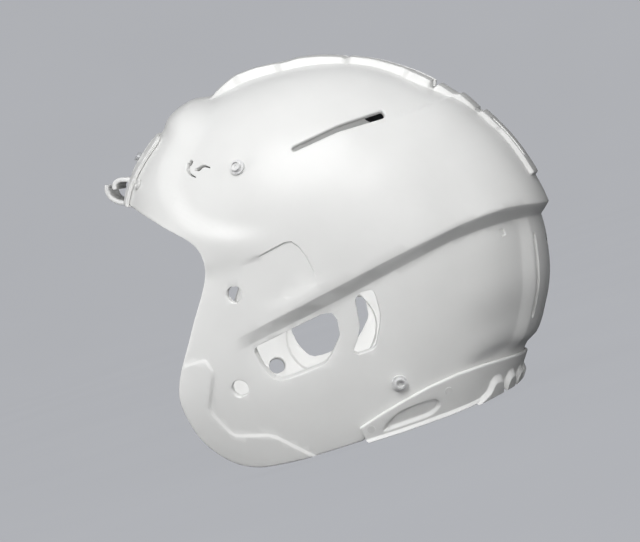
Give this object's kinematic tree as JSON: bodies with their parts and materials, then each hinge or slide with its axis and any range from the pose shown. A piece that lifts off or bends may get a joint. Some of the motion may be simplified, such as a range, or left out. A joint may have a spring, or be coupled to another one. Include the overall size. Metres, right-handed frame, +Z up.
{
  "type": "football helmet",
  "caption": "Open-faced gridiron helmet with a moulded shell, raised brow and crown rails, ear holes, padded liner and nape bumper, with no face guard fitted.",
  "frame": {"origin": "middle of the footprint on the ground under the helmet, which stands on its jaw flaps and nape bumper", "axes": "-Y to the front, +X to the wearer's left, +Z up"},
  "size_m": [0.23, 0.3048, 0.277],
  "materials": {
    "shell_gloss": "gloss moulded polycarbonate",
    "trim_white": "satin moulded plastic",
    "clip_white": "satin moulded plastic",
    "screw_steel": "plated",
    "screw_white": "painted head",
    "snap_metal": "light plated",
    "liner_vinyl": "matte vinyl over foam",
    "jaw_vinyl": "matte vinyl over foam",
    "fastener_fabric": "hook and loop",
    "valve_rubber": "matte"
  },
  "bodies": {
    "root": {"shell": "shell_gloss", "front_bumper": "trim_white", "face_guard_clip": "clip_white", "clip_screws": "screw_steel", "brow_screws": "screw_white", "rear_bumper": "trim_white", "rear_bumper_screws": "screw_white", "upper_snap_left": "snap_metal", "upper_snap_right": "snap_metal", "lower_snap_left": "snap_metal", "lower_snap_right": "snap_metal", "snap_screws": "screw_steel", "snap_tee_nuts": "screw_steel", "front_pad": "liner_vinyl", "crown_pad": "liner_vinyl", "back_pad": "liner_vinyl", "nape_pad": "liner_vinyl", "left_side_pad": "liner_vinyl", "right_side_pad": "liner_vinyl", "left_jaw_pad": "jaw_vinyl", "right_jaw_pad": "jaw_vinyl", "liner_fasteners": "fastener_fabric", "jaw_pad_studs": "screw_steel", "crown_valve": "valve_rubber", "nape_valve": "valve_rubber"}
  },
  "joints": []
}
